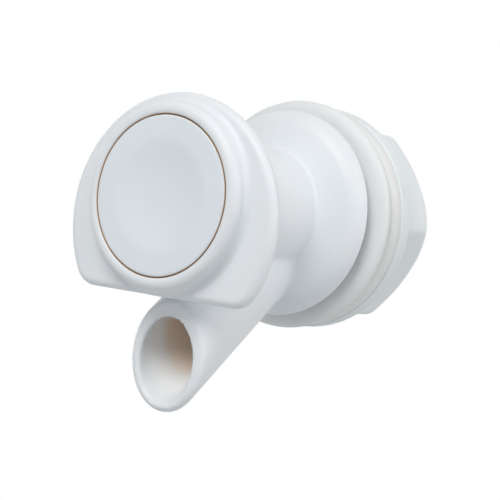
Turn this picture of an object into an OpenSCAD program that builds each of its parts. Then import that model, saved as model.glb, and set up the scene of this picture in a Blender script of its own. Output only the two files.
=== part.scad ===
// Push-button drink tap for the wall of a cooler, in millimetres.
// +Y runs from the button through the wall into the vessel, +Z is up, +X is to the right.
// The origin is where the vessel's outer wall face meets the axis of its hole.
// In the profiles x is the radius and y the distance s behind the flange's rear face.

/* [Button and collar] */
// Radius of the push button
button_r = 15.9; // [13:0.1:18]
// Gap all round between button and collar
button_gap = 0.3; // [0.2:0.05:0.5]
// Depth of the finger dish in the button
dish_depth = 0.75; // [0.4:0.05:1]
// Radius of the finger dish
dish_r = 12; // [9:0.1:12.2]
// Rounding that leads the face into the dish
dish_edge_r = 28; // [10:1:35]
// Thickness of the button's face
button_t = 2.5; // [2.2:0.1:3]
// Thickness of the button's skirt
skirt_wall = 1.7; // [1.2:0.1:2.5]
// Full depth of the button, face and skirt
skirt_h = 5.6; // [4:0.1:7]
// Travel of the button
button_travel = 5; // [3:0.5:6]
// Wall of the collar round the button
collar_wall = 2.8; // [2.2:0.1:4]
// Height of the collar in front of the face plate
collar_h = 3.6; // [2.6:0.1:5]
// Rounding of the collar's outer edge
collar_lip_r = 1.5; // [0.6:0.1:2]
// Rounding of the collar's inner edge
collar_mouth_r = 0.7; // [0.3:0.1:0.9]
// Fillet between collar and face plate
collar_fillet_r = 1.1; // [0.5:0.1:1.5]

/* [Face plate] */
// Radius of the plate's round part
plate_r = 25.8; // [25:0.1:32]
// Distance from the tap's axis down to the plate's centre
plate_drop = 4.7; // [3:0.1:5.5]
// Distance from the plate's centre down to its flat bottom edge
plate_flat = 15.2; // [14.5:0.1:17]
// Corner radius of the plate
plate_corner_r = 5.4; // [2:0.1:6]
// Thickness of the plate
plate_t = 3.1; // [2.4:0.1:4.5]
// Rounding of the plate's edges
plate_edge_r = 1.5; // [0.4:0.1:1.5]

/* [Body] */
// Distance from the flange's rear face to the front of the collar
reach = 41.5; // [40:0.5:50]
// Depth of the cup that takes the button
cup_depth = 13.5; // [12.5:0.5:15]
// Wall of the cup behind the face plate
cup_wall = 1.8; // [1.4:0.1:2.8]
// Thickness of the cup's floor
cup_floor = 2.5; // [2:0.1:3.5]
// Outside radius of the barrel
barrel_r = 12; // [11:0.1:13.5]
// Radius of the round flange at the wall
flange_r = 22.9; // [21.5:0.1:24.5]
// Rounding of the flange's front rim
flange_lip_r = 2.4; // [1.5:0.1:3]
// Backward lean of the flange's front face, in degrees
flange_lean = 14; // [5:1:25]
// Straight band between that rounding and the flange's rear face
flange_band = 0.3; // [0.1:0.1:1.5]
// Fillet that sweeps the barrel out into the flange
sweep_r = 4; // [2:0.1:6]

/* [Spout] */
// Outside radius of the spout
spout_r = 9.23; // [8.5:0.1:10]
// Wall of the spout
spout_wall = 2.2; // [1.6:0.1:2.8]
// Depth of the spout's mouth along its axis, up to the narrower throat
mouth_len = 20; // [12:1:24]
// Step from the mouth's bore down to the throat's
throat_step = 0.4; // [0.1:0.1:1]
// Rounding of the spout's outer rim
rim_round_r = 1.2; // [0.6:0.1:1.6]
// Slope of the spout below the horizontal, in degrees
spout_slope = 39; // [36:1:44]
// Distance from the flange's rear face forward to the upright outlet
outlet_reach = 32.9; // [28:0.5:36]
// Distance from the tap's axis down to the middle of the outlet
outlet_drop = 32.6; // [31:0.5:36]

/* [Shank and valve seat] */
// Outside radius of the threaded shank
shank_r = 12; // [11.5:0.1:13]
// Length of the shank behind the flange
shank_len = 42; // [40:0.5:50]
// Length of the plain lead at the shank's end
lead_len = 5; // [3:0.5:8]
// Step from the thread's crest down to the plain lead
lead_step = 0.9; // [0.6:0.1:1.1]
// Radius of the wet chamber in front of the seat
chamber_r = 9.5; // [9:0.1:10]
// Distance from the flange's rear face back to the valve seat
seat_s = 10; // [8:0.5:12]
// Thickness of the seat's web
seat_t = 2; // [1.5:0.1:3]
// Radius of the hole in the seat
seat_hole_r = 6; // [5:0.1:6.4]
// Radius of the shank's bore behind the seat
inlet_r = 9; // [8.6:0.1:9.2]
// Radius of the socket at the inlet end
socket_r = 9.5; // [9.3:0.1:9.8]
// Depth of the socket at the inlet end
socket_len = 16; // [12:0.5:18]

/* [Valve] */
// Radius of the valve stem
stem_r = 3; // [2.5:0.1:3.5]
// Radius of the pocket for the stem's O-ring
gland_pocket_r = 5.1; // [4.7:0.1:5.6]
// Depth of that pocket
gland_pocket_len = 4.5; // [3.8:0.1:5]
// Thickness of the wall between pocket and wet chamber
gland_web = 2; // [1.5:0.1:2.5]
// Radius of the valve seal
seal_r = 7.4; // [7:0.1:8]
// Thickness of the valve seal
seal_t = 3.5; // [2.5:0.1:4.5]
// Radius of the stem's head behind the seal
stem_head_r = 5; // [4.2:0.1:5.6]
// Radius of the spring wire
wire_r = 0.5; // [0.4:0.05:0.5]
// Turns of the spring
spring_turns = 4.25; // [3.5:0.25:4.25]

/* [Gaskets and nut] */
// Thickness of the front gasket
front_gasket_t = 7.1; // [5:0.1:9]
// Radius of the front gasket
front_gasket_r = 25; // [24:0.1:28]
// How far the front gasket's rim draws in towards the flange
front_gasket_draw = 4; // [2:0.1:4.5]
// Length over which it draws in
front_gasket_bulge = 6; // [4.5:0.1:6.4]
// Rounding of the front gasket's rear edge
front_gasket_edge_r = 1.1; // [0.4:0.1:1.3]
// Thickness of the rear gasket
rear_gasket_t = 4; // [3:0.1:6]
// Radius of the rear gasket
rear_gasket_r = 23.8; // [23.5:0.1:28]
// How far the rear gasket's rim draws in towards the front gasket
rear_gasket_draw = 1.6; // [1:0.1:2]
// Length over which it draws in
rear_gasket_bulge = 2.2; // [1.8:0.1:2.4]
// Rounding of the rear gasket's rear edge
rear_gasket_edge_r = 0.5; // [0.3:0.1:0.7]
// Radius of the nut's round flange
nut_flange_r = 24.6; // [24:0.1:28]
// Thickness of the nut's round flange
nut_flange_t = 3.6; // [2.5:0.1:5]
// Length of the nut, flange and hexagon
nut_len = 17.8; // [16:0.1:18.5]
// Width of the hexagon across its flats
nut_flats = 40.8; // [38:0.1:42]
// Length of the bevel at the nut's rear end
nut_bevel_len = 4.4; // [2:0.1:6]
// Thickness of the nut's walls
nut_wall = 2.6; // [2:0.1:3]
// Thickness of the ribs inside the nut
nut_rib = 2; // [1.5:0.1:3]

/* [Hidden] */
$fn = 96;

// Clearances: a running fit, a loose fit, and what a cut runs past a face
fit = 0.05;
loose = 0.3;
past = 1;

// Places along the axis, measured from the flange's rear face
flange_y = -front_gasket_t;
lip_s = -reach;
plate_front_s = lip_s + collar_h;
plate_back_s = plate_front_s + plate_t;
cup_floor_s = lip_s + cup_depth;
cup_back_s = cup_floor_s + cup_floor;
pocket_end_s = cup_floor_s + gland_pocket_len;
chamber_s = pocket_end_s + gland_web;
socket_s = shank_len - socket_len;

// Collar, cup and flange
mouth_r = button_r + button_gap;
collar_r = mouth_r + collar_wall;
cup_r = mouth_r + cup_wall;
cup_corner_r = 0.8 * cup_floor;
neck_fillet_r = 1.5;
flange_t = flange_lip_r + flange_band;

// Front face of the flange: the middle of its rim's rounding, and the middle of its fillet on the barrel
lip_mid = [flange_r - flange_lip_r, -flange_band];
lean = [sin(flange_lean), -cos(flange_lean)];
sweep_mid = [barrel_r + sweep_r,
    ((barrel_r + sweep_r) * lean[0] - lip_mid * lean - flange_lip_r - sweep_r) / cos(flange_lean)];

// Shank
lead_r = shank_r - lead_step;
lead_chamfer = 0.8;

// Length of the spout's axis from the outlet to where it ends inside the wet chamber
spout_len = (outlet_drop - 0.4 * chamber_r) / sin(spout_slope);

// Corner centres of the face plate, sideways and down from the plate's centre
corner_z = plate_flat - plate_corner_r;
corner_x = sqrt(pow(plate_r - plate_corner_r, 2) - pow(corner_z, 2));

// Button
face_s = lip_s + 0.1;
button_back_s = face_s + button_t;
skirt_end_s = face_s + skirt_h;
button_edge_r = 0.8;
gland_flange_t = 1;
gland_face_s = cup_floor_s - gland_flange_t;
boss_end_s = gland_face_s - button_travel - loose;
boss_r = stem_r + 1.6;
boss_rib_reach = 2;
boss_rib_h = 2;
boss_rib_t = 1.2;

// Stem
tip_r = stem_r - 0.5;
tip_s = button_back_s + 0.6;
stem_collar_r = stem_r + 1.5;
stem_collar_t = 1.4;
wing_t = 1.2;
wing_len = button_travel + seat_t + 1;
stem_head_t = 2;

// Gland ring, O-ring and spring
o_ring_r = (gland_pocket_r - stem_r) / 2 - fit;
o_ring_mid_r = (gland_pocket_r + stem_r) / 2;
o_ring_s = pocket_end_s - o_ring_r - fit;
rim_h = 0.9;
rim_reach = 4.8;
rim_r = boss_r + rim_reach;
rim_t = 0.9;
spring_mid_r = rim_r - rim_t - 0.25 - wire_r;

// Gaskets and nut
gasket_hole_r = shank_r + loose;
rear_gasket_s = front_gasket_t;
nut_s = front_gasket_t + rear_gasket_t;
nut_end_s = nut_s + nut_len;
nut_hole_r = shank_r + fit;
nut_tube_r = nut_hole_r + nut_wall;
nut_corner_r = nut_flats / sqrt(3) - 0.2;
nut_bevel_r = nut_flats / 2 - 0.1;
nut_floor = nut_flange_t + 1.6;

// Everything below is placed from the flange's rear face
module from_flange() {
    translate([0, flange_y, 0]) children();
}

// A profile turned round the tap's axis
module turned(angle = 360) {
    rotate([-90, 0, 0]) rotate_extrude(angle = angle) children();
}

// A rectangle between two radii and two places along the axis
module band(r1, r2, s1, s2) {
    translate([r1, s1]) square([r2 - r1, s2 - s1]);
}

// What lies between a square corner at [r, s] and its rounding, whose centre is towards dr, ds
module spandrel(r, s, e, dr, ds) {
    translate([r, s]) difference() {
        translate([min(0, dr * e), min(0, ds * e)]) square(e);
        translate([dr * e, ds * e]) circle(e);
    }
}

// A bevel's triangle at a corner at [r, s]
module bevel(r, s, dr, ds) {
    polygon([[r, s], [r + dr, s], [r, s + ds]]);
}

// Flange with a leaning front face, rounded off at its rim and swept out of the barrel
module bell() {
    difference() {
        polygon([[0, sweep_mid[1]], [barrel_r, sweep_mid[1]], sweep_mid - sweep_r * lean,
            lip_mid + flange_lip_r * lean, lip_mid, [lip_mid[0], 0], [0, 0]]);
        translate(sweep_mid) circle(sweep_r);
    }
    difference() {
        translate(lip_mid) circle(flange_lip_r);
        band(0, flange_r + past, 0, flange_lip_r);
    }
    band(0, flange_r, -flange_band, 0);
}

// Outside of the moulding where it is round
module body_outside() {
    difference() {
        union() {
            bell();
            band(0, collar_r, lip_s, plate_back_s);
            band(0, cup_r, plate_front_s, cup_back_s);
            band(0, barrel_r, cup_floor_s, 0);
            band(0, shank_r, -flange_t, shank_len - lead_len);
            band(0, lead_r, 0, shank_len);
            spandrel(collar_r, plate_front_s, collar_fillet_r, 1, -1);
            spandrel(barrel_r, cup_back_s, neck_fillet_r, 1, 1);
        }
        spandrel(collar_r, lip_s, collar_lip_r, -1, 1);
        spandrel(cup_r, cup_back_s, cup_corner_r, -1, -1);
        bevel(lead_r, shank_len, -lead_chamfer, -lead_chamfer);
        bevel(shank_r, shank_len - lead_len, -lead_step, -lead_step);
    }
}

// Cup, gland pocket, wet chamber, seat hole and inlet
module body_inside() {
    band(0, mouth_r, lip_s - past, cup_floor_s);
    spandrel(mouth_r, lip_s, collar_mouth_r, 1, 1);
    band(0, gland_pocket_r, cup_floor_s - past, pocket_end_s);
    band(0, stem_r + fit, pocket_end_s - past, chamber_s + past);
    band(0, chamber_r, chamber_s, seat_s - seat_t);
    band(0, seat_hole_r, seat_s - seat_t - past, seat_s + past);
    band(0, inlet_r, seat_s, socket_s + past);
    band(0, socket_r, socket_s, shank_len + past);
}

// Edge of the face plate out to radius r, both faces rounded off
module plate_edge(r) {
    difference() {
        band(0, r, plate_front_s, plate_back_s);
        spandrel(r, plate_front_s, plate_edge_r, -1, 1);
        spandrel(r, plate_back_s, plate_edge_r, -1, -1);
    }
}

// D-shaped face plate: a disc cut off where it meets its corners, two corner discs and the bar along the
// flat edge. The corner discs stand proud by a hair, so that they cross their neighbours cleanly.
module face_plate() {
    hair = 0.02;
    translate([0, 0, -plate_drop]) rotate([-90, 0, 0]) {
        difference() {
            rotate_extrude() plate_edge(plate_r);
            translate([-plate_r, plate_r * corner_z / (plate_r - plate_corner_r), plate_front_s - past])
                cube([2 * plate_r, plate_r, plate_t + 2 * past]);
        }
        for (x = [-corner_x, corner_x]) translate([x, corner_z, 0])
            rotate_extrude() plate_edge(plate_corner_r + hair);
        translate([-corner_x, corner_z, 0]) rotate([90, 0, 90])
            linear_extrude(2 * corner_x) plate_edge(plate_corner_r);
    }
}

// A rod down the spout's axis, kept between two upright planes s1 and s2 and ended at far on its axis
module spout_rod(r, s1, s2, far) {
    low = outlet_drop + 2 * spout_r;
    intersection() {
        translate([0, -outlet_reach, -outlet_drop]) rotate([spout_slope - 90, 0, 0])
            translate([0, 0, -2 * r]) cylinder(r = r, h = 2 * r + far);
        translate([-spout_r - past, s1, -low]) cube([2 * (spout_r + past), s2 - s1, 2 * low]);
    }
}

// What a rounding of radius e takes off the spout's outer rim: a ring swept round the slanting outlet.
// At each angle a ball of radius e touches the tube along out and the outlet's face along the front.
// The ring's section runs along the ball from k = 0 to arc, and back further out.
module rim_cut(e) {
    steps = 72;
    arc = 5;
    ring = 2 * arc + 2;
    hair = 0.02;
    axis = [0, -cos(spout_slope), -sin(spout_slope)];
    side = [0, sin(spout_slope), -cos(spout_slope)];
    front = [0, -1, 0];
    points = [for (i = [0:steps - 1])
        let (a = 360 * i / steps, out = [cos(a), 0, 0] + sin(a) * side)
        let (in = (spout_r - e + hair) * out, run = (e - hair - in[1]) / axis[1])
        let (centre = [0, -outlet_reach, -outlet_drop] + in + run * axis)
        let (turn = acos(out * front), up = (out - cos(turn) * front) / sin(turn))
        for (k = [0:ring - 1])
            let (b = turn * min(k, ring - 1 - k) / arc, r = k <= arc ? e : 1.15 * e / cos(turn / 2))
            centre + r * (sin(b) * up + cos(b) * front)];
    faces = [for (i = [0:steps - 1]) for (k = [0:ring - 1])
        let (j = (i + 1) % steps, m = (k + 1) % ring)
        [i * ring + k, j * ring + k, j * ring + m, i * ring + m]];
    polyhedron(points, faces);
}

module spigot_body() {
    color("#d9dfe2") from_flange() difference() {
        union() {
            turned() body_outside();
            face_plate();
            difference() {
                spout_rod(spout_r, -outlet_reach, 0, spout_len);
                rim_cut(rim_round_r);
            }
        }
        turned() body_inside();
        spout_rod(spout_r - spout_wall, -outlet_reach - past, -flange_t, mouth_len);
        spout_rod(spout_r - spout_wall - throat_step, -outlet_reach - past, -flange_t, spout_len);
    }
}

// Section of the finger dish: a ball's cap whose edge is rounded out into the face
module dish() {
    ball_r = (dish_r * dish_r + dish_depth * dish_depth) / (2 * dish_depth) - dish_edge_r;
    ball_mid = [0, face_s + dish_depth - ball_r];
    edge_mid = [dish_r, face_s + dish_edge_r];
    meet = ball_mid + (edge_mid - ball_mid) * ball_r / (ball_r + dish_edge_r);
    intersection() {
        translate(ball_mid) circle(ball_r);
        band(0, meet[0], face_s - past, face_s + dish_depth + past);
    }
    difference() {
        polygon([[0, face_s - past], [dish_r, face_s - past], [dish_r, face_s], meet, [0, meet[1]]]);
        translate(edge_mid) circle(dish_edge_r);
    }
}

module push_button() {
    color("#d6dce0") from_flange() difference() {
        union() {
            turned() difference() {
                band(0, button_r, face_s, skirt_end_s);
                spandrel(button_r, face_s, button_edge_r, -1, 1);
                band(boss_r, button_r - skirt_wall, button_back_s, skirt_end_s + past);
                band(0, boss_r, boss_end_s, skirt_end_s + past);
            }
            turned() band(0, boss_r, button_back_s - past, boss_end_s);
            for (a = [0, 90]) rotate([0, a, 0])
                translate([-boss_r - boss_rib_reach, button_back_s - past, -boss_rib_t / 2])
                    cube([2 * (boss_r + boss_rib_reach), boss_rib_h + past, boss_rib_t]);
        }
        turned() band(0, tip_r + fit, tip_s - fit, boss_end_s + past);
        turned() dish();
    }
}

// Height of the spring's wire at a share u of its length: closed turns at both ends
function spring_rise(u) = let (e = 0.2) u < e ? 0.12 * u / e : u > 1 - e ? 1 - 0.12 * (1 - u) / e
    : 0.12 + 0.76 * (u - e) / (1 - 2 * e);

module return_spring() {
    steps = ceil(spring_turns * 24);
    sides = 8;
    low = button_back_s + wire_r + fit;
    high = gland_face_s - wire_r - fit;
    points = [for (i = [0:steps]) let (u = i / steps, a = 360 * spring_turns * u)
        for (j = [0:sides - 1]) let (b = 360 * j / sides, r = spring_mid_r + wire_r * cos(b))
            [r * cos(a), low + (high - low) * spring_rise(u) + wire_r * sin(b), r * sin(a)]];
    sleeve = [for (i = [0:steps - 1]) for (j = [0:sides - 1]) let (k = (j + 1) % sides)
        [i * sides + j, (i + 1) * sides + j, (i + 1) * sides + k, i * sides + k]];
    start = [[for (j = [0:sides - 1]) j]];
    end = [[for (j = [sides - 1:-1:0]) steps * sides + j]];
    color("#b9bcc0") from_flange() polyhedron(points, concat(sleeve, start, end));
}

module valve_stem() {
    color("#e6e4dc") from_flange() {
        turned() difference() {
            union() {
                band(0, tip_r, tip_s, boss_end_s + fit);
                band(0, stem_r, boss_end_s, seat_s + seal_t);
                band(0, stem_collar_r, seat_s - stem_collar_t, seat_s);
                band(0, stem_head_r, seat_s + seal_t, seat_s + seal_t + stem_head_t);
            }
            bevel(stem_head_r, seat_s + seal_t + stem_head_t, -stem_head_t / 2, -stem_head_t / 2);
            bevel(tip_r, tip_s, -fit * 8, fit * 8);
        }
        for (a = [0, 90]) rotate([0, a, 0])
            translate([-seat_hole_r + 2 * fit, seat_s - stem_collar_t - wing_len, -wing_t / 2])
                cube([2 * (seat_hole_r - 2 * fit), wing_len, wing_t]);
    }
}

module stem_o_ring() {
    color("#2e2e2e") from_flange() turned() translate([o_ring_mid_r, o_ring_s]) circle(o_ring_r);
}

module gland_ring() {
    color("#e2e3df") from_flange() turned() difference() {
        union() {
            band(stem_r + 2 * fit, rim_r, gland_face_s, cup_floor_s);
            band(rim_r - rim_t, rim_r, gland_face_s - rim_h, cup_floor_s);
            band(stem_r + 2 * fit, gland_pocket_r - fit, gland_face_s, o_ring_s - o_ring_r - fit);
        }
        bevel(rim_r - rim_t, gland_face_s - rim_h, 2 * rim_t / 3, 2 * rim_t / 3);
    }
}

module valve_seal() {
    seal_edge = 0.5;
    color("#8f7d6d") from_flange() turned() difference() {
        band(stem_r + fit, seal_r, seat_s, seat_s + seal_t);
        spandrel(seal_r, seat_s, seal_edge, -1, 1);
        spandrel(seal_r, seat_s + seal_t, seal_edge, -1, -1);
    }
}

// A flat gasket whose outer edge is bulged over bulge_len behind its front face
module gasket(r, s, t, bulge_drop, bulge_len, back_edge_r) {
    bulge_r = (pow(bulge_drop, 2) + pow(bulge_len, 2)) / (2 * bulge_drop);
    turned() difference() {
        band(gasket_hole_r, r, s, s + t);
        difference() {
            band(r - bulge_drop, r + past, s - past, s + bulge_len);
            translate([r - bulge_r, s + bulge_len]) circle(bulge_r);
        }
        spandrel(r, s + t, back_edge_r, -1, -1);
    }
}

module front_gasket() {
    color("#d9dbda") from_flange()
        gasket(front_gasket_r, 0, front_gasket_t, front_gasket_draw, front_gasket_bulge,
            front_gasket_edge_r);
}

module rear_gasket() {
    color("#d4d6d5") from_flange()
        gasket(rear_gasket_r, rear_gasket_s, rear_gasket_t, rear_gasket_draw, rear_gasket_bulge,
            rear_gasket_edge_r);
}

// A six-sided prism with a corner to +X
module hexagon(across, s1, s2) {
    translate([0, s1, 0]) rotate([-90, 0, 0]) cylinder(r = across / sqrt(3), h = s2 - s1, $fn = 6);
}

module lock_nut() {
    flange_edge_r = 0.7;
    hole_bevel = 0.9;
    color("#d8dee1") from_flange() difference() {
        union() {
            turned() difference() {
                band(0, nut_flange_r, nut_s, nut_s + nut_flange_t);
                spandrel(nut_flange_r, nut_s, flange_edge_r, -1, 1);
                spandrel(nut_flange_r, nut_s + nut_flange_t, flange_edge_r, -1, -1);
            }
            intersection() {
                hexagon(nut_flats, nut_s + past, nut_end_s);
                turned() difference() {
                    band(0, nut_corner_r, nut_s, nut_end_s);
                    bevel(nut_corner_r, nut_end_s, nut_bevel_r - nut_corner_r, -nut_bevel_len);
                }
            }
        }
        difference() {
            hexagon(nut_flats - 2 * nut_wall, nut_s + nut_floor, nut_end_s + past);
            turned() band(0, nut_tube_r, nut_s, nut_end_s + past);
            for (a = [0, 60, 120]) rotate([0, a, 0]) translate([-nut_flats, nut_s, -nut_rib / 2])
                cube([2 * nut_flats, nut_len + 2 * past, nut_rib]);
        }
        turned() {
            band(0, nut_hole_r, nut_s - past, nut_end_s + past);
            bevel(nut_hole_r, nut_s, hole_bevel, hole_bevel);
            bevel(nut_hole_r, nut_end_s, hole_bevel, -hole_bevel);
        }
    }
}

spigot_body();
push_button();
return_spring();
valve_stem();
stem_o_ring();
gland_ring();
valve_seal();
front_gasket();
rear_gasket();
lock_nut();
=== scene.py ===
# %% [markdown]
# # A cooler's push-button tap
#
# The tap is a handful of moulded plastic pieces on one axis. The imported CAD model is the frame: every
# piece made here sits where the CAD says and rides on a CAD body, so that the button still presses and
# the nut still unscrews. Blender's lengths are in metres. +Y runs from the button into the cooler's wall,
# +Z is up and +X is to the right.

# %% Load the frame
import math

import bpy
import numpy as np
from mathutils import Matrix, Vector


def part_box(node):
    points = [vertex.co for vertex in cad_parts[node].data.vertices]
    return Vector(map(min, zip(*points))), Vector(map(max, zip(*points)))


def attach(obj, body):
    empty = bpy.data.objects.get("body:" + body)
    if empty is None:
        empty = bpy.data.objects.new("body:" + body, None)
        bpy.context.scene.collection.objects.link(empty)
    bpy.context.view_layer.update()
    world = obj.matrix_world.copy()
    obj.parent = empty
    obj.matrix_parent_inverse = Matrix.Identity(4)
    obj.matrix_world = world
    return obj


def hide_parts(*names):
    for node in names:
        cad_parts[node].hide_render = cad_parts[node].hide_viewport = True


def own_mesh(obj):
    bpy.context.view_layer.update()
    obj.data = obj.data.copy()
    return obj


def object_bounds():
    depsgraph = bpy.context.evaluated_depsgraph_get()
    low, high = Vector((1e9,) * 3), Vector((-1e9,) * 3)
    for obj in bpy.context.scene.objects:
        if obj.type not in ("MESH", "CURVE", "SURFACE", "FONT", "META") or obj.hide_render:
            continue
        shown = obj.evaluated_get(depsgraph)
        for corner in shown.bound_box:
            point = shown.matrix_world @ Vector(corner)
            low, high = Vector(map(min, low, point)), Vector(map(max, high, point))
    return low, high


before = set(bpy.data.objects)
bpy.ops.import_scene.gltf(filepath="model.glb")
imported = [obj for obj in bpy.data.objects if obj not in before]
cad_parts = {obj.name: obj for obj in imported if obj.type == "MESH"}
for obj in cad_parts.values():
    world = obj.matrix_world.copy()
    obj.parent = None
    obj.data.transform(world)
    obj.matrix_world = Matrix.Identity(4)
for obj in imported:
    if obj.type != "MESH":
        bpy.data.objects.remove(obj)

MM = 0.001
cad_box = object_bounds()
print("CAD box, mm:", [[round(v / MM, 1) for v in corner] for corner in cad_box])

# %% [markdown]
# ## Camera
#
# The photograph was taken from the right of the button, about 35 cm away, with a slight roll. The place
# and angles below were found by fitting the outlines of the round pieces. A long lens keeps the flat
# look of a product photograph.

# %% Camera at the photograph's viewpoint
CAMERA_PLACE = Vector((198.07, -289.19, -2.73)) * MM
CAMERA_YAW, CAMERA_PITCH, CAMERA_ROLL = (math.radians(a) for a in (35.918, -1.019, 7.307))
CAMERA_LENS = 113.96
CAMERA_SHIFT = (-0.0007, -0.001)


def camera_axes(yaw, pitch, roll):
    """Right, up and forward of a camera that looks along +Y at yaw 0."""
    forward = Vector((-math.sin(yaw) * math.cos(pitch), math.cos(yaw) * math.cos(pitch), math.sin(pitch)))
    level = Vector((math.cos(yaw), math.sin(yaw), 0))
    above = level.cross(forward)
    right = math.cos(roll) * level + math.sin(roll) * above
    up = math.cos(roll) * above - math.sin(roll) * level
    return right, up, forward


right, up, forward = camera_axes(CAMERA_YAW, CAMERA_PITCH, CAMERA_ROLL)
camera = bpy.data.objects.new("camera", bpy.data.cameras.new("camera"))
camera.data.lens = CAMERA_LENS
camera.data.shift_x, camera.data.shift_y = CAMERA_SHIFT
camera.matrix_world = Matrix.Translation(CAMERA_PLACE) @ Matrix((right, up, -forward)).transposed().to_4x4()
bpy.context.scene.collection.objects.link(camera)
bpy.context.scene.camera = camera
print("camera at", [round(v, 3) for v in camera.location])

# %% [markdown]
# ## Places along the axis
#
# Every round piece is described by radii and by places s along the axis, in millimetres behind the
# flange's rear face. That face is the front of the front gasket, so the frame says where it is.

# %% Places along the axis, in millimetres
FLANGE_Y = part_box("front_gasket")[0].y / MM
WALL_S = -FLANGE_Y
NUT_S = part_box("lock_nut")[0].y / MM - FLANGE_Y
NUT_END_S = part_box("lock_nut")[1].y / MM - FLANGE_Y
LIP_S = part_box("spigot_body")[0].y / MM - FLANGE_Y
SHANK_END_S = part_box("spigot_body")[1].y / MM - FLANGE_Y
print("collar's lip", round(LIP_S, 2), "wall", round(WALL_S, 2), "nut", round(NUT_S, 2), "to", round(NUT_END_S, 2))

# %% [markdown]
# ## Modelling a moulding with distances
#
# The body is one injection moulding whose forms run into each other through small fillets. Booleans
# would give knife-edged joins, and a bevel breaks down where curved faces meet at a slant. So the forms
# are written as distances: negative inside, positive outside. Two forms are joined by a rounded
# minimum, whose radius is the mould's own fillet, and a bore is cut with a rounded maximum.

# %% Distances and how they join


def join(a, b, r=0.0):
    """Both forms, with a fillet of radius r where they meet."""
    if r == 0:
        return np.minimum(a, b)
    return np.maximum(r, np.minimum(a, b)) - np.hypot(np.maximum(r - a, 0), np.maximum(r - b, 0))


def keep(a, b, r=0.0):
    """What lies in both forms, with the edge between them rounded to radius r."""
    return -join(-a, -b, r)


def cut(a, b, r=0.0):
    """Form a without form b, with the new edge rounded to radius r."""
    return keep(a, -b, r)


def band(rho, s, radius, start, end, r=0.0):
    """A turned disc or rod from start to end along the axis, its edges rounded to r."""
    across = np.abs(rho) - radius + r
    along = np.abs(s - (start + end) / 2) - (end - start) / 2 + r
    outside = np.hypot(np.maximum(across, 0), np.maximum(along, 0))
    return np.minimum(np.maximum(across, along), 0) + outside - r


# %% [markdown]
# The surface is drawn where the distance is zero. A grid is laid over the form, one point is set in
# each cell that the surface passes through, and four neighbours make a quad. Nearly every edge here runs
# round the tap's axis, so the grid's squares are bent into rings, which the edges then follow. The points
# are evened out and slid onto the true surface, and the shading normals are the distance's own slope, so
# the small quads don't show as facets.

# %% Drawing the surface of a form


def steps(start, end, size):
    return np.linspace(start, end, int(round((end - start) / size)) + 1)


def ring_grid(reach_x, places_s, reach_z, size):
    """Grid points in rings round the axis: each square ring of a plain grid becomes a round one."""
    u, s, v = np.meshgrid(steps(*reach_x, size), places_s, steps(*reach_z, size), indexing="ij")
    wide = np.abs(u) > np.abs(v)
    radius = np.where(wide, u, v)
    share = np.where(wide, v, u) / np.where(radius == 0, 1, radius)
    along, aside = radius * np.cos(share * math.pi / 4), radius * np.sin(share * math.pi / 4)
    return [np.where(wide, along, aside), s, np.where(wide, aside, along)]


def slope(field, p, h=0.02):
    """Gradient of a field at points p."""
    out = np.empty_like(p)
    for i in range(3):
        d = np.zeros(3)
        d[i] = h
        out[:, i] = (field(*(p + d).T) - field(*(p - d).T)) / (2 * h)
    return out


def surface_cells(field, grid):
    """A point in each cell that the surface crosses, and quads between the cells round each crossed edge."""
    value = field(*grid)
    inside = value < 0
    shape = np.array(value.shape)
    total = np.zeros((*(shape - 1), 3))
    count = np.zeros(shape - 1)
    crossings = []
    for axis in range(3):
        near, far = [slice(None)] * 3, [slice(None)] * 3
        near[axis], far[axis] = slice(0, -1), slice(1, None)
        near, far = tuple(near), tuple(far)
        crossed = inside[near] != inside[far]
        share = np.where(crossed, value[near] / np.where(crossed, value[near] - value[far], 1), 0)
        place = np.stack([g[near] + share * (g[far] - g[near]) for g in grid], -1) * crossed[..., None]
        others = [a for a in range(3) if a != axis]
        for i in (0, 1):
            for j in (0, 1):
                cells = [slice(None)] * 3
                cells[others[0]] = slice(i, i + shape[others[0]] - 1)
                cells[others[1]] = slice(j, j + shape[others[1]] - 1)
                total += place[tuple(cells)]
                count += crossed[tuple(cells)]
        crossings.append((crossed, inside[near]))
    used = count > 0
    number = np.full(used.shape, -1)
    number[used] = np.arange(used.sum())
    quads = []
    for axis, (crossed, filled) in enumerate(crossings):
        u, v = (axis + 1) % 3, (axis + 2) % 3
        at = np.argwhere(crossed)
        at = at[(at[:, u] > 0) & (at[:, v] > 0) & (at[:, u] < shape[u] - 1) & (at[:, v] < shape[v] - 1)]
        ring = []
        for du, dv in ((1, 1), (0, 1), (0, 0), (1, 0)):
            cell = at.copy()
            cell[:, u] -= du
            cell[:, v] -= dv
            ring.append(number[tuple(cell.T)])
        ring = np.stack(ring, 1)
        flip = ~filled[tuple(at.T)]
        ring[flip] = ring[flip, ::-1]
        quads.append(ring)
    return total[used] / count[used][:, None], np.concatenate(quads)


def onto_surface(field, p, rounds=3, limit=0.5):
    for _ in range(rounds):
        g = slope(field, p)
        step = field(*p.T)[:, None] * g / np.maximum((g ** 2).sum(1), 0.05)[:, None]
        size = np.linalg.norm(step, axis=1)[:, None]
        p = p - step * np.minimum(1, limit / np.maximum(size, 1e-9))
    return p


def even_out(p, quads, share=0.5):
    """Moves each point towards the middle of its neighbours."""
    total, count = np.zeros_like(p), np.zeros(len(p))
    for i in range(4):
        for j in ((i + 1) % 4, (i + 3) % 4):
            np.add.at(total, quads[:, i], p[quads[:, j]])
            np.add.at(count, quads[:, i], 1)
    return p + share * (total / np.maximum(count, 1)[:, None] - p)


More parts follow.
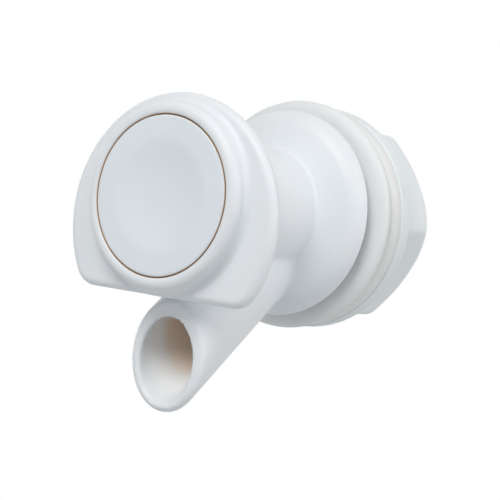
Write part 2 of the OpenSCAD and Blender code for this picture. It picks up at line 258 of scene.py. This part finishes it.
def mesh_object(name, points, faces, normals=None):
    """A smooth mesh from points in (x, s, z) millimetres."""
    mesh = bpy.data.meshes.new(name)
    placed = (points + np.array([0, FLANGE_Y, 0])) * MM
    mesh.from_pydata(placed.tolist(), [], faces.tolist() if hasattr(faces, "tolist") else faces)
    mesh.update()
    mesh.shade_smooth()
    if normals is not None:
        mesh.normals_split_custom_set_from_vertices(normals.tolist())
    made = bpy.data.objects.new(name, mesh)
    bpy.context.scene.collection.objects.link(made)
    return made


def mould(name, field, grid, relax=3):
    """A piece drawn from its distance field."""
    points, quads = surface_cells(field, grid)
    for _ in range(relax):
        points = onto_surface(field, even_out(points, quads), rounds=1)
    points = onto_surface(field, points)
    normals = slope(field, points)
    normals /= np.maximum(np.linalg.norm(normals, axis=1), 1e-6)[:, None]
    made = mesh_object(name, points, quads, normals)
    print(name, len(points), "points", 2 * len(quads), "triangles")
    return made


# %% [markdown]
# ## The body
#
# One moulding carries everything: a collar round the button, the cup behind it, a D-shaped face plate to
# hold the tap by, the barrel that flares into the wall flange, the slanting spout and the threaded shank.

# %% Collar, cup and face plate
COLLAR_R, COLLAR_LIP_R, COLLAR_MOUTH_R, COLLAR_FILLET_R = 19.0, 1.9, 0.6, 1.5
MOUTH_R = 16.2
PLATE_FRONT_S, PLATE_T, PLATE_EDGE_R = LIP_S + 3.6, 3.1, 1.5
PLATE_BACK_S = PLATE_FRONT_S + PLATE_T
PLATE_R, PLATE_DROP, PLATE_FLAT, PLATE_CORNER_R = 25.8, 4.7, 15.2, 5.4
CUP_R, CUP_FLOOR_S, CUP_BACK_S, CUP_CORNER_R = 18.0, LIP_S + 13.5, LIP_S + 16.0, 2.0


def plate_outline(x, z):
    """Distance to the D: a disc cut flat below, its corners rounded."""
    radius, flat = PLATE_R - PLATE_CORNER_R, PLATE_FLAT - PLATE_CORNER_R
    corner = math.sqrt(radius ** 2 - flat ** 2)
    u, v = np.abs(x), z + PLATE_DROP
    reach = np.hypot(u, v)
    past_arc, past_flat = reach - radius, -flat - v
    low = np.where(u <= corner, past_flat, np.hypot(u - corner, past_flat))
    low = np.where((u > corner) & (v * radius > -flat * reach), past_arc, low)
    outside = np.where(past_flat <= 0, past_arc, low)
    inside = (past_arc <= 0) & (past_flat <= 0)
    return np.where(inside, np.maximum(past_arc, past_flat), outside) - PLATE_CORNER_R


def face_plate(x, s, z):
    across = plate_outline(x, z) + PLATE_EDGE_R
    along = np.abs(s - (PLATE_FRONT_S + PLATE_BACK_S) / 2) - PLATE_T / 2 + PLATE_EDGE_R
    rounded = np.hypot(np.maximum(across, 0), np.maximum(along, 0))
    return np.minimum(np.maximum(across, along), 0) + rounded - PLATE_EDGE_R


# %% Spout
SPOUT_R, SPOUT_BORE_R, SPOUT_THROAT_R, SPOUT_MOUTH_LEN, SPOUT_BORE_LOW = 9.23, 6.75, 6.5, 20.0, 0.3
SPOUT_SLOPE = math.radians(39)
OUTLET_S, OUTLET_Z, RIM_ROUND_R, RIM_INNER_R = -32.9, -32.6, 1.2, 0.55
CHAMBER_R = 9.5
SPOUT_LEN = (-OUTLET_Z - 0.4 * CHAMBER_R) / math.sin(SPOUT_SLOPE)


def spout_frame(x, s, z):
    """Place along the spout from its outlet, height above its axis, and distance from the axis."""
    ds, dz = s - OUTLET_S, z - OUTLET_Z
    along = ds * math.cos(SPOUT_SLOPE) + dz * math.sin(SPOUT_SLOPE)
    above = dz * math.cos(SPOUT_SLOPE) - ds * math.sin(SPOUT_SLOPE)
    return along, above, np.hypot(x, above)


def spout_outside(x, s, z):
    """The tube, cut off upright at the outlet, with its slanting rim rounded as by a rolling ball."""
    along, above, radius = spout_frame(x, s, z)
    a, b = radius - SPOUT_R + RIM_ROUND_R, OUTLET_S - s + RIM_ROUND_R
    lean = above / np.maximum(radius, 1e-6) * math.sin(SPOUT_SLOPE)
    at_edge = (a > lean * b) & (b > lean * a)
    edge = np.sqrt(np.maximum(a * a + b * b - 2 * lean * a * b, 0) / (1 - lean * lean))
    tube = np.where(at_edge, edge, np.maximum(a, b)) - RIM_ROUND_R
    return np.maximum(tube, np.maximum(along - SPOUT_LEN, s))


def spout_inside(x, s, z):
    """The bore, which sits a little low in the tube, and its narrower throat."""
    along, above, _ = spout_frame(x, s, z)
    radius = np.hypot(x, above + SPOUT_BORE_LOW)
    mouth = np.maximum(radius - SPOUT_BORE_R, along - SPOUT_MOUTH_LEN)
    throat = np.maximum(radius - SPOUT_THROAT_R, np.maximum(along - SPOUT_LEN, s + 3.3))
    return np.minimum(mouth, throat)


# %% [markdown]
# The shank has a coarse right-hand thread, 3 mm from crest to crest, which the CAD leaves plain. Its
# height is a trapezium wave of the place along the axis less the turn. The wave fades out over half a
# turn before the plain lead, as a moulded thread does.

# %% Thread
PITCH, THREAD_DEPTH, CREST_SHARE, ROOT_SHARE = 3.0, 0.9, 0.3, 0.7
SHANK_R, LEAD_LEN = 12.0, 5.0
LEAD_R = SHANK_R - THREAD_DEPTH


def thread_height(x, s, z):
    """1 on the crest and 0 in the root of a right-hand thread."""
    phase = (s / PITCH - np.arctan2(x, z) / (2 * math.pi)) % 1.0
    away = np.abs(phase - 0.5) * 2
    flank = np.clip((ROOT_SHARE - away) / (ROOT_SHARE - CREST_SHARE), 0, 1)
    return flank * flank * (3 - 2 * flank)


def shank(x, s, z, rho):
    fade = np.clip((SHANK_END_S - LEAD_LEN - s) / (PITCH / 2), 0, 1)
    radius = LEAD_R + THREAD_DEPTH * thread_height(x, s, z) * fade
    rod = keep((rho - radius) * 0.8, s - SHANK_END_S, 0.8)
    return np.maximum(rod, -2 - s)


# %% Whole body
BARREL_R, BARREL_END_R, BARREL_END_S, NECK_FILLET_R, SWEEP_R = 12.2, 13.4, -5.5, 1.5, 0.5
FLANGE_R, FLANGE_LIP_R, FLANGE_LIP_S, FLANGE_LEAN = 22.45, 3.2, 0.1, math.radians(20)
FLANGE_SEAT_R, FLANGE_RIM_S = 20.2, 0.8
SPOUT_FILLET_R = 0.9
GLAND_POCKET_R, STEM_HOLE_R, GLAND_POCKET_LEN, GLAND_WEB = 5.1, 3.05, 4.5, 2.0
SEAT_S, SEAT_T, SEAT_HOLE_R, INLET_R, SOCKET_R, SOCKET_LEN = 10.0, 2.0, 6.0, 9.0, 9.5, 16.0
POCKET_END_S = CUP_FLOOR_S + GLAND_POCKET_LEN
PAST = 5.0


def body_outside(x, s, z):
    rho = np.hypot(x, z)
    collar = band(rho, s, COLLAR_R, LIP_S, PLATE_BACK_S, COLLAR_LIP_R)
    head = join(collar, face_plate(x, s, z), COLLAR_FILLET_R)
    head = join(head, band(rho, s, CUP_R, PLATE_FRONT_S, CUP_BACK_S, CUP_CORNER_R), 0.6)
    draft = (BARREL_END_R - BARREL_R) / (BARREL_END_S - CUP_BACK_S)
    barrel_radius = BARREL_R + draft * np.clip(s - CUP_BACK_S, 0, BARREL_END_S - CUP_BACK_S)
    barrel = np.maximum(rho - barrel_radius, np.maximum(CUP_FLOOR_S - s, s))
    lip_r, lip_s = FLANGE_R - FLANGE_LIP_R, FLANGE_LIP_S
    face = (rho - lip_r) * math.sin(FLANGE_LEAN) - (s - lip_s) * math.cos(FLANGE_LEAN)
    rear = np.minimum(s, keep(s - FLANGE_RIM_S, FLANGE_SEAT_R - rho))
    flange = keep(keep(face - FLANGE_LIP_R, rho - FLANGE_R, FLANGE_LIP_R), rear, 0.35)
    bell = join(barrel, flange, SWEEP_R)
    body = join(head, bell, NECK_FILLET_R)
    body = join(body, shank(x, s, z, rho), 0.3)
    return join(body, spout_outside(x, s, z), SPOUT_FILLET_R)


def body_waterway(x, s, z):
    rho = np.hypot(x, z)
    forms = [
        band(rho, s, GLAND_POCKET_R, CUP_FLOOR_S - PAST, POCKET_END_S),
        band(rho, s, STEM_HOLE_R, POCKET_END_S - 1, POCKET_END_S + GLAND_WEB + 1),
        band(rho, s, CHAMBER_R, POCKET_END_S + GLAND_WEB, SEAT_S - SEAT_T),
        band(rho, s, SEAT_HOLE_R, SEAT_S - SEAT_T - 1, SEAT_S + 1),
        band(rho, s, INLET_R, SEAT_S, SHANK_END_S - SOCKET_LEN + 1),
        band(rho, s, SOCKET_R, SHANK_END_S - SOCKET_LEN, SHANK_END_S + PAST),
    ]
    return np.minimum.reduce(forms)


def body_field(x, s, z):
    rho = np.hypot(x, z)
    body = cut(body_outside(x, s, z), band(rho, s, MOUTH_R, LIP_S - 3 * PAST, CUP_FLOOR_S, 0.5), COLLAR_MOUTH_R)
    body = cut(body, spout_inside(x, s, z), RIM_INNER_R)
    return cut(body, body_waterway(x, s, z), 0.3)


# %% Draw the body
body_places = np.unique(np.concatenate([
    steps(LIP_S - 0.6, PLATE_BACK_S + 0.6, 0.4),
    steps(PLATE_BACK_S + 0.6, -3.5, 0.62),
    steps(-3.5, 1.8, 0.25),
    steps(1.8, SHANK_END_S + 0.7, 0.62),
]))
body_grid = ring_grid((-29.4, 29.4), body_places, (-45.5, 26.6), 0.7)
tap_body = mould("tap_body", body_field, body_grid)
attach(tap_body, "tap")
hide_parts("spigot_body")

# %% [markdown]
# ## The button
#
# The button is a thin cap. Its face is dished for the thumb so gently that only the light tells, and a
# skirt, a socket for the stem and two crossed ribs stand behind it.

# %% Button
BUTTON_R, BUTTON_FACE_S, BUTTON_T, BUTTON_EDGE_R = 16.07, LIP_S + 0.1, 2.5, 0.4
SKIRT_WALL, SKIRT_END_S = 1.7, LIP_S + 5.7
DISH_R, DISH_DEPTH = 12.0, 0.95
BOSS_R, BOSS_END_S, STEM_SOCKET_R, RIB_T, RIB_H, RIB_R = 4.6, -34.3, 2.55, 1.2, 2.0, 6.6


def button_field(x, s, z):
    rho = np.hypot(x, z)
    back_s = BUTTON_FACE_S + BUTTON_T
    cap = band(rho, s, BUTTON_R, BUTTON_FACE_S, SKIRT_END_S + 4, BUTTON_EDGE_R)
    cap = keep(cap, s - SKIRT_END_S, 0.3)
    cap = cut(cap, band(rho, s, BUTTON_R - SKIRT_WALL, back_s, SKIRT_END_S + 9, 0.5), 0.2)
    cap = join(cap, band(rho, s, BOSS_R, back_s - 1, BOSS_END_S, 0.2), 0.3)
    for across in (x, z):
        rib = np.maximum(np.abs(across) - RIB_T / 2, np.maximum(rho - RIB_R, np.abs(s - back_s) - RIB_H))
        cap = join(cap, rib, 0.2)
    cap = cut(cap, band(rho, s, STEM_SOCKET_R, back_s + 0.55, BOSS_END_S + 3))
    dish = DISH_DEPTH * np.clip(1 - (rho / DISH_R) ** 3, 0, 1) ** 2
    return np.maximum(cap, BUTTON_FACE_S + dish - s)


button_places = steps(BUTTON_FACE_S - 0.3, BOSS_END_S + 0.4, 0.3)
button = mould("button", button_field, ring_grid((-16.4, 16.4), button_places, (-16.4, 16.4), 0.4))
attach(button, "plunger")
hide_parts("push_button")

# %% [markdown]
# ## The lock nut
#
# A round flange bears on the rear gasket and a hexagon takes the spanner. The hexagon is cored out
# between its wall and the threaded tube, with a rib to each corner, so that it cools without sinking.

# %% Lock nut
NUT_FLANGE_R, NUT_FLANGE_T, NUT_FLATS, NUT_BEVEL_LEN = 24.6, 3.6, 40.8, 4.4
NUT_CORNER_R = NUT_FLATS / math.sqrt(3) - 0.2
NUT_BEVEL_R = NUT_FLATS / 2 - 0.1
NUT_WALL, NUT_TUBE_R, NUT_RIB, NUT_FLOOR_S = 2.6, 14.65, 2.0, NUT_S + 5.2
NUT_THREAD_GAP, NUT_EDGE_R = 0.12, 0.35


def hexagon(x, z, flats, r):
    """Distance to a hexagon with a corner to +X."""
    c, d = math.cos(math.pi / 6), math.sin(math.pi / 6)
    a = np.abs(z) - flats / 2
    b = np.abs(x * c + z * d) - flats / 2
    e = np.abs(x * c - z * d) - flats / 2
    return keep(keep(a, b, r), e, r)


def nut_field(x, s, z):
    rho = np.hypot(x, z)
    fall, run = NUT_CORNER_R - NUT_BEVEL_R, NUT_BEVEL_LEN
    bevel = ((rho - NUT_CORNER_R) * run + (s - NUT_END_S + run) * fall) / math.hypot(fall, run)
    prism = keep(hexagon(x, z, NUT_FLATS, 0.8), rho - NUT_CORNER_R, 0.8)
    prism = keep(keep(prism, bevel, 0.8), s - NUT_END_S, 0.5)
    prism = np.maximum(prism, NUT_S + 1 - s)
    nut = join(band(rho, s, NUT_FLANGE_R, NUT_S, NUT_S + NUT_FLANGE_T, NUT_EDGE_R), prism, 0.5)
    half = math.sqrt(3) / 2
    to_rib = np.minimum(np.abs(z), np.minimum(np.abs(z / 2 - x * half), np.abs(z / 2 + x * half)))
    pocket = keep(hexagon(x, z, NUT_FLATS - 2 * NUT_WALL, 0.4), NUT_TUBE_R - rho, 0.4)
    pocket = np.maximum(keep(pocket, NUT_RIB / 2 - to_rib, 0.4), NUT_FLOOR_S - s)
    nut = cut(nut, pocket, 0.25)
    bore_r = LEAD_R + THREAD_DEPTH * thread_height(x, s, z) + NUT_THREAD_GAP
    mouth = 0.9 - np.minimum(s - NUT_S, NUT_END_S - s)
    bore = np.minimum((rho - bore_r) * 0.8, (rho - SHANK_R - mouth) * 0.7)
    return cut(nut, bore, 0.15)


nut_places = steps(NUT_S - 0.4, NUT_END_S + 0.4, 0.45)
nut = mould("hex_lock_nut", nut_field, ring_grid((-25.2, 25.2), nut_places, (-25.2, 25.2), 0.6))
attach(nut, "nut")
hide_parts("lock_nut")

# %% [markdown]
# ## Gaskets
#
# Both gaskets are soft rings that are turned about the axis: a profile of points, spun once round. The
# nut squeezes them, so each rim bulges: it rises from a narrow foot to a crest behind its middle and falls
# again towards its rear face. The feet leave the deep grooves that look dark from the front.

# %% Gaskets
GASKET_HOLE_R = 12.3
AROUND = 192


def spin(name, profile):
    """A ring from a closed outline of (radius, s) points."""
    outline = np.array(profile)
    turn = np.linspace(0, 2 * math.pi, AROUND, endpoint=False)
    x = outline[None, :, 0] * np.sin(turn)[:, None]
    z = outline[None, :, 0] * np.cos(turn)[:, None]
    s = np.broadcast_to(outline[None, :, 1], x.shape)
    points = np.stack([x, s, z], -1).reshape(-1, 3)
    n = len(outline)
    i, j = np.meshgrid(np.arange(AROUND), np.arange(n), indexing="ij")
    nxt, up_ = (i + 1) % AROUND, (j + 1) % n
    faces = np.stack([i * n + j, i * n + up_, nxt * n + up_, nxt * n + j], -1).reshape(-1, 4)
    made = mesh_object(name, points, faces)
    print(name, len(points), "points")
    return made


def arc(centre_r, centre_s, radius, start, end, count):
    """Points on an arc. Angle 0 points outwards and 90 degrees towards the rear."""
    angles = np.radians(np.linspace(start, end, count))
    return [(centre_r + radius * math.cos(a), centre_s + radius * math.sin(a)) for a in angles]


def gasket(name, radius, start, end, foot, rise, fall, hole_r=0.4):
    """A ring with a straight foot in front. The rise and the fall are (height, length) of oval arcs."""
    crest = start + foot + rise[1]
    foot_r = radius - rise[0]
    profile = arc(GASKET_HOLE_R + hole_r, start + hole_r, hole_r, 180, 270, 5)
    profile += [(foot_r - 0.3, start), (foot_r, start + 0.3), (foot_r, start + foot)]
    profile += [(foot_r + rise[0] * r, crest + rise[1] * s) for r, s in arc(0, 0, 1, -80, 0, 20)]
    profile += [(radius - fall[0] + fall[0] * r, crest + fall[1] * s) for r, s in arc(0, 0, 1, 5, 85, 12)]
    profile += [(radius - fall[0] - 0.2, end)]
    profile += arc(GASKET_HOLE_R + hole_r, end - hole_r, hole_r, 90, 180, 5)
    return spin(name, profile)


FRONT_CREST, REAR_CREST = 0.68 * WALL_S, 0.8 * (NUT_S - WALL_S)
front_ring = gasket("gasket_front", 25.0, 0.0, WALL_S, 2.6, (7.0, FRONT_CREST - 2.6), (2.2, WALL_S - FRONT_CREST))
rear_ring = gasket("gasket_rear", 24.4, WALL_S, NUT_S, 0.3, (2.3, REAR_CREST - 0.3), (0.2, NUT_S - WALL_S - REAR_CREST))
print("front gasket", round(WALL_S, 2), "mm thick, rear", round(NUT_S - WALL_S, 2))
for ring, body, node_name in ((front_ring, "tap", "front_gasket"), (rear_ring, "gasket", "rear_gasket")):
    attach(ring, body)
    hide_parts(node_name)

# %% [markdown]
# ## Light and background
#
# The photograph shows the tap cut out on white, under a broad soft light from above and in front. The
# strongest lamp stands high on the left and gives the bright lips. Two on the right light the barrel and
# the bell behind the plate, and the others are weak fills. The world is pale grey for light but white to
# the eye of the camera.

# %% Colour helper and node helper


def colour(hex_code):
    """Linear RGBA of an sRGB hex value."""
    parts = [int(hex_code[i:i + 2], 16) / 255 for i in (1, 3, 5)]
    return [c / 12.92 if c <= 0.04045 else ((c + 0.055) / 1.055) ** 2.4 for c in parts] + [1.0]


def add(tree, kind, sockets=None, **settings):
    """A shader node with its settings. A socket's value is a number, a colour, or (node, output) to link."""
    node = tree.nodes.new("ShaderNode" + kind)
    for name, value in settings.items():
        setattr(node, name, value)
    for name, value in (sockets or {}).items():
        if isinstance(value, tuple) and isinstance(value[0], bpy.types.Node):
            tree.links.new(value[0].outputs[value[1]], node.inputs[name])
        else:
            node.inputs[name].default_value = value
    return node


# %% World
AMBIENT = 0.2
LAMP_DISTANCE, LAMP_SIZE = 1.0, 0.6
LAMPS = {
    "key_above": dict(aside=-25, above=45, power=6.0),
    "front_above": dict(aside=15, above=45, power=1.1),
    "right_above": dict(aside=55, above=25, power=2.8),
    "side_right": dict(aside=85, above=5, power=1.6),
    "side_left": dict(aside=-65, above=5, power=1.1),
    "behind": dict(aside=-150, above=5, power=1.0),
}


def seen_or_mirrored(tree):
    """1 for rays that come from the camera or by way of a mirror or glass, and 0 for rays that carry light."""
    path = add(tree, "LightPath")
    seen = add(tree, "Math", {0: (path, "Is Camera Ray"), 1: (path, "Is Glossy Ray")}, operation="MAXIMUM")
    return add(tree, "Math", {0: (seen, 0), 1: (path, "Is Transmission Ray")}, operation="MAXIMUM")


world = bpy.data.worlds.new("studio")
world.use_nodes = True
world.node_tree.nodes.clear()
lighting = add(world.node_tree, "Background", {"Color": colour("#f6f9fc"), "Strength": AMBIENT})
white = add(world.node_tree, "Background", {"Color": (1, 1, 1, 1), "Strength": 1.0})
seen = seen_or_mirrored(world.node_tree)
mixed = add(world.node_tree, "MixShader", {0: (seen, 0), 1: (lighting, 0), 2: (white, 0)})
add(world.node_tree, "OutputWorld", {"Surface": (mixed, 0)})
bpy.context.scene.world = world

# %% [markdown]
# The floor is a pale matt disc well below the tap, so that the photograph's view stays clear of it while
# other views see it with the tap's soft shadow. Towards its edge it turns to the background's white.

# %% Floor
FLOOR_Z, FLOOR_R, FADE_START, FADE_END = -0.35, 1.2, 0.5, 1.15

bpy.ops.mesh.primitive_circle_add(vertices=96, radius=FLOOR_R, fill_type="NGON", location=(0, 0, FLOOR_Z))
floor = bpy.context.object
floor.name = "studio_floor"
paint = bpy.data.materials.new("matt_floor_paint")
paint.use_nodes = True
tree = paint.node_tree
tree.nodes.clear()
place = add(tree, "TexCoord")
speckle = add(tree, "TexNoise", {"Vector": (place, "Object"), "Scale": 40.0, "Detail": 3.0})
tone = add(tree, "MixRGB", {0: (speckle, 0), 1: colour("#f0f2f3"), 2: colour("#eceeef")})
matt = add(tree, "BsdfDiffuse", {"Color": (tone, 0)})
bright = add(tree, "Emission", {"Color": (1, 1, 1, 1), "Strength": 1.0})
away = add(tree, "VectorMath", {0: (place, "Object")}, operation="LENGTH")
fade = add(tree, "MapRange", {0: (away, "Value"), 1: FADE_START, 2: FADE_END}, interpolation_type="SMOOTHSTEP")
share = add(tree, "Math", {0: (fade, 0), 1: (seen_or_mirrored(tree), 0)}, operation="MULTIPLY")
surface = add(tree, "MixShader", {0: (share, 0), 1: (matt, 0), 2: (bright, 0)})
add(tree, "OutputMaterial", {"Surface": (surface, 0)})
floor.data.materials.append(paint)
print("floor at", FLOOR_Z)

# %% Lamps
middle = (cad_box[0] + cad_box[1]) / 2
towards_camera = (CAMERA_PLACE - middle).normalized()
to_its_right = towards_camera.cross(Vector((0, 0, -1))).normalized()
for name, lamp in LAMPS.items():
    data = bpy.data.lights.new(name, "AREA")
    data.shape = "DISK"
    data.size = LAMP_SIZE
    data.energy = lamp["power"]
    light = bpy.data.objects.new(name, data)
    aside, above = math.radians(lamp["aside"]), math.radians(lamp["above"])
    level = math.cos(aside) * towards_camera + math.sin(aside) * to_its_right
    light.location = middle + LAMP_DISTANCE * (math.cos(above) * level + math.sin(above) * Vector((0, 0, 1)))
    light.rotation_euler = (middle - light.location).to_track_quat("-Z", "Y").to_euler()
    bpy.context.scene.collection.objects.link(light)
    print(name, "at", [round(v, 2) for v in light.location])

view = bpy.context.scene.view_settings
view.view_transform = "Standard"
print(len(LAMPS), "lamps")

# %% [markdown]
# ## Finishes
#
# The body, button and nut are injection-moulded polypropylene. The mould is spark-eroded, which leaves a
# fine satin grain, and the colour clouds faintly where the melt flowed. The grain on the real skin is about
# 0.05 mm, too fine to show at this size, so it is drawn at 0.35 mm. The stem and its gland are acetal,
# which is glossier.

# %% Moulded plastic
CLOUD_MM, GRAIN_MM = 14.0, 0.35


def new_material(name):
    """An empty material, its node tree and the node that gives places on the piece."""
    material = bpy.data.materials.new(name)
    material.use_nodes = True
    material.node_tree.nodes.clear()
    return material, material.node_tree, add(material.node_tree, "TexCoord")


def moulded_plastic(name, base, cloud, roughness, tint=None):
    """Satin moulded plastic: a faint cloudiness in colour and gloss, and a fine eroded grain."""
    material, tree, place = new_material(name)
    clouds = add(tree, "TexNoise", {"Vector": (place, "Object"), "Scale": 1 / (CLOUD_MM * MM), "Detail": 2.0})
    mixed = add(tree, "MixRGB", {0: (clouds, 0), 1: colour(base), 2: colour(cloud)})
    if tint:
        mixed = tint(tree, place, mixed)
    dull = add(tree, "MapRange", {0: (clouds, 0), 3: roughness - 0.04, 4: roughness + 0.04})
    grain = add(tree, "TexNoise", {"Vector": (place, "Object"), "Scale": 1 / (GRAIN_MM * MM), "Detail": 3.0})
    bump = add(tree, "Bump", {"Height": (grain, 0), "Strength": 0.02, "Distance": 0.1 * MM})
    shader = add(tree, "BsdfPrincipled", {"Base Color": (mixed, 0), "Roughness": (dull, 0), "IOR": 1.49,
                                          "Normal": (bump, 0)})
    add(tree, "OutputMaterial", {"Surface": (shader, 0)})
    return material


# %% [markdown]
# Rubber is softer and duller than the plastic. Wax that rises to its surface leaves a pale bloom in
# patches a few millimetres wide, which also changes the gloss. Its mould is polished less evenly, so the
# bump is stronger.

# %% Moulded rubber
BLOOM_MM, RUBBER_GRAIN_MM = 6.0, 0.5


def moulded_rubber(name, base, bloom, roughness):
    """Dull moulded rubber with a pale bloom in patches."""
    material, tree, place = new_material(name)
    patches = add(tree, "TexNoise", {"Vector": (place, "Object"), "Scale": 1 / (BLOOM_MM * MM), "Detail": 3.0})
    mixed = add(tree, "MixRGB", {0: (patches, 0), 1: colour(base), 2: colour(bloom)})
    dull = add(tree, "MapRange", {0: (patches, 0), 3: roughness - 0.06, 4: roughness + 0.06})
    grain = add(tree, "TexNoise", {"Vector": (place, "Object"), "Scale": 1 / (RUBBER_GRAIN_MM * MM), "Detail": 2.0})
    bump = add(tree, "Bump", {"Height": (grain, 0), "Strength": 0.06, "Distance": 0.1 * MM})
    shader = add(tree, "BsdfPrincipled", {"Base Color": (mixed, 0), "Roughness": (dull, 0), "IOR": 1.52,
                                          "Normal": (bump, 0)})
    add(tree, "OutputMaterial", {"Surface": (shader, 0)})
    return material


# %% [markdown]
# The return spring is bare stainless wire. Drawing it through a die leaves fine streaks along the wire,
# which in a coil runs round the axis. So the streaks' noise is stretched across the axis and is fine
# along it.

# %% Drawn steel wire
STREAK_MM, STREAK_LENGTH_MM = 0.15, 5.0


def drawn_steel(name, base, streak, roughness):
    """Bare drawn wire, wound about the Y axis."""
    material, tree, place = new_material(name)
    fine = Vector((1 / STREAK_LENGTH_MM, 1 / STREAK_MM, 1 / STREAK_LENGTH_MM)) / MM
    stretched = add(tree, "VectorMath", {0: (place, "Object"), 1: fine}, operation="MULTIPLY")
    streaks = add(tree, "TexNoise", {"Vector": (stretched, 0), "Scale": 1.0, "Detail": 3.0})
    mixed = add(tree, "MixRGB", {0: (streaks, 0), 1: colour(base), 2: colour(streak)})
    dull = add(tree, "MapRange", {0: (streaks, 0), 3: roughness - 0.08, 4: roughness + 0.08})
    bump = add(tree, "Bump", {"Height": (streaks, 0), "Strength": 0.1, "Distance": 0.01 * MM})
    shader = add(tree, "BsdfPrincipled", {"Base Color": (mixed, 0), "Roughness": (dull, 0), "Metallic": 1.0,
                                          "Normal": (bump, 0)})
    add(tree, "OutputMaterial", {"Surface": (shader, 0)})
    return material


# %% [markdown]
# Inside the spout the wall is painted paler past the rim, as painted light, and a light tan further in, as
# painted warm shade for the light that bounces deep in the bore. This paint only reaches surfaces that are
# nearer to the spout's axis than the middle of its wall is, and it ends before that axis comes out through
# the shank. A brown line is also painted just behind the lip, in the gap round the button, as painted shade.

# %% Painted light and shade on the body
# Depths along the spout and reach from its axis of the painted light and painted warm shade in the bore, in mm.
PAINTED_BORE_START, PAINTED_SHADE_FULL, PAINTED_BORE_END, PAINTED_BORE_RADIUS = 5.5, 10.0, 31.0, 8.0
# Where the painted shade in the gap round the button lies, in mm.
GAP_SHADE_DEPTH, GAP_SHADE_END = 0.3, 2.2
GAP_SHADE_INNER_R, GAP_SHADE_OUTER_R = BUTTON_R - 0.4, MOUTH_R + 0.4


def product(tree, *factors):
    """The product of several node outputs."""
    total = factors[0]
    for factor in factors[1:]:
        total = (add(tree, "Math", {0: total, 1: factor}, operation="MULTIPLY"), 0)
    return total


# Painted light and shade in the spout: the wall is painted paler past the rim, as painted light, and a light tan deeper
# in, as painted warm shade.
def paint_bore_light_and_shade(tree, place, own_colour):
    outlet = Vector((0, OUTLET_S + FLANGE_Y, OUTLET_Z)) * MM
    axis = Vector((0, math.cos(SPOUT_SLOPE), math.sin(SPOUT_SLOPE)))
    from_outlet = add(tree, "VectorMath", {0: (place, "Object"), 1: outlet}, operation="SUBTRACT")
    inward = add(tree, "SeparateXYZ", {0: (from_outlet, 0)})
    across = add(tree, "VectorMath", {0: (from_outlet, 0), 1: axis}, operation="CROSS_PRODUCT")
    radius = add(tree, "VectorMath", {0: (across, 0)}, operation="LENGTH")
    within = add(tree, "Math", {0: (radius, "Value"), 1: PAINTED_BORE_RADIUS * MM}, operation="LESS_THAN")
    before_end = add(tree, "Math", {0: (inward, "Y"), 1: PAINTED_BORE_END * MM}, operation="LESS_THAN")
    past_rim = add(tree, "MapRange", {0: (inward, "Y"), 1: 0.3 * MM, 2: PAINTED_BORE_START * MM},
                   interpolation_type="SMOOTHSTEP")
    deep = add(tree, "MapRange", {0: (inward, "Y"), 1: PAINTED_BORE_START * MM, 2: PAINTED_SHADE_FULL * MM},
               interpolation_type="SMOOTHSTEP")
    inside = product(tree, (within, 0), (before_end, 0), (past_rim, 0))
    # Painted light: the paler wall inside the bore.
    painted_light = add(tree, "MixRGB", {0: inside, 1: (own_colour, 0), 2: colour("#f6f6f5")})
    # Painted warm shade: the light tan deeper in the bore.
    warm_shade_share = product(tree, inside, (deep, 0))
    return add(tree, "MixRGB", {0: warm_shade_share, 1: (painted_light, 0), 2: colour("#fbe8d6")})


# Painted shade: a brown line just behind the lip, in the gap between button and collar.
def paint_gap_shade(tree, place, own_colour):
    axes = add(tree, "SeparateXYZ", {0: (place, "Object")})
    flat = add(tree, "CombineXYZ", {"X": (axes, "X"), "Z": (axes, "Z")})
    radius = add(tree, "VectorMath", {0: (flat, 0)}, operation="LENGTH")
    within = add(tree, "Math", {0: (radius, "Value"), 1: GAP_SHADE_OUTER_R * MM}, operation="LESS_THAN")
    beyond = add(tree, "Math", {0: (radius, "Value"), 1: GAP_SHADE_INNER_R * MM}, operation="GREATER_THAN")
    start, end = LIP_S + FLANGE_Y + GAP_SHADE_DEPTH, LIP_S + FLANGE_Y + GAP_SHADE_END
    behind_lip = add(tree, "Math", {0: (axes, "Y"), 1: start * MM}, operation="GREATER_THAN")
    fading = add(tree, "MapRange", {0: (axes, "Y"), 1: start * MM, 2: end * MM, 3: 1.0, 4: 0.0})
    share = product(tree, (within, 0), (beyond, 0), (behind_lip, 0), (fading, 0))
    return add(tree, "MixRGB", {0: share, 1: (own_colour, 0), 2: colour("#b98f55")})


# Both painted marks: the light and warm shade in the bore, and the shade in the gap round the button.
def painted_light_and_shade(tree, place, own_colour):
    return paint_gap_shade(tree, place, paint_bore_light_and_shade(tree, place, own_colour))


# %% Finishes of all pieces
FINISHES = {
    # The body's colour carries the painted light and warm shade in the spout and the painted shade in the gap.
    "tap_body": moulded_plastic("polypropylene_body", "#e2e5e8", "#dee2e5", 0.45, tint=painted_light_and_shade),
    # The button's colour carries the painted shade in the gap round it.
    "button": moulded_plastic("polypropylene_button", "#dee4e8", "#dbe1e6", 0.45, tint=paint_gap_shade),
    "hex_lock_nut": moulded_plastic("polypropylene_nut", "#e1e5e7", "#dde2e4", 0.45),
    "valve_stem": moulded_plastic("acetal_stem", "#e9e6dd", "#e4e1d8", 0.32),
    "gland_ring": moulded_plastic("acetal_gland", "#e4e4df", "#dfdfda", 0.32),
    "gasket_front": moulded_rubber("gasket_rubber_front", "#dde0e0", "#e1e3e3", 0.55),
    "gasket_rear": moulded_rubber("gasket_rubber_rear", "#dbdcda", "#dfe0de", 0.55),
    "valve_seal": moulded_rubber("seal_rubber", "#857465", "#927f6f", 0.6),
    "stem_o_ring": moulded_rubber("o_ring_rubber", "#1f1f1f", "#2b2b2b", 0.5),
    "return_spring": drawn_steel("spring_steel_wire", "#c8c6c2", "#b4b2af", 0.3),
}
for piece_name, material in FINISHES.items():
    mesh = bpy.data.objects[piece_name].data
    mesh.materials.clear()
    mesh.materials.append(material)
print(len(FINISHES), "finishes")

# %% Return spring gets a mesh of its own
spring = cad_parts["return_spring"]
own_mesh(spring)
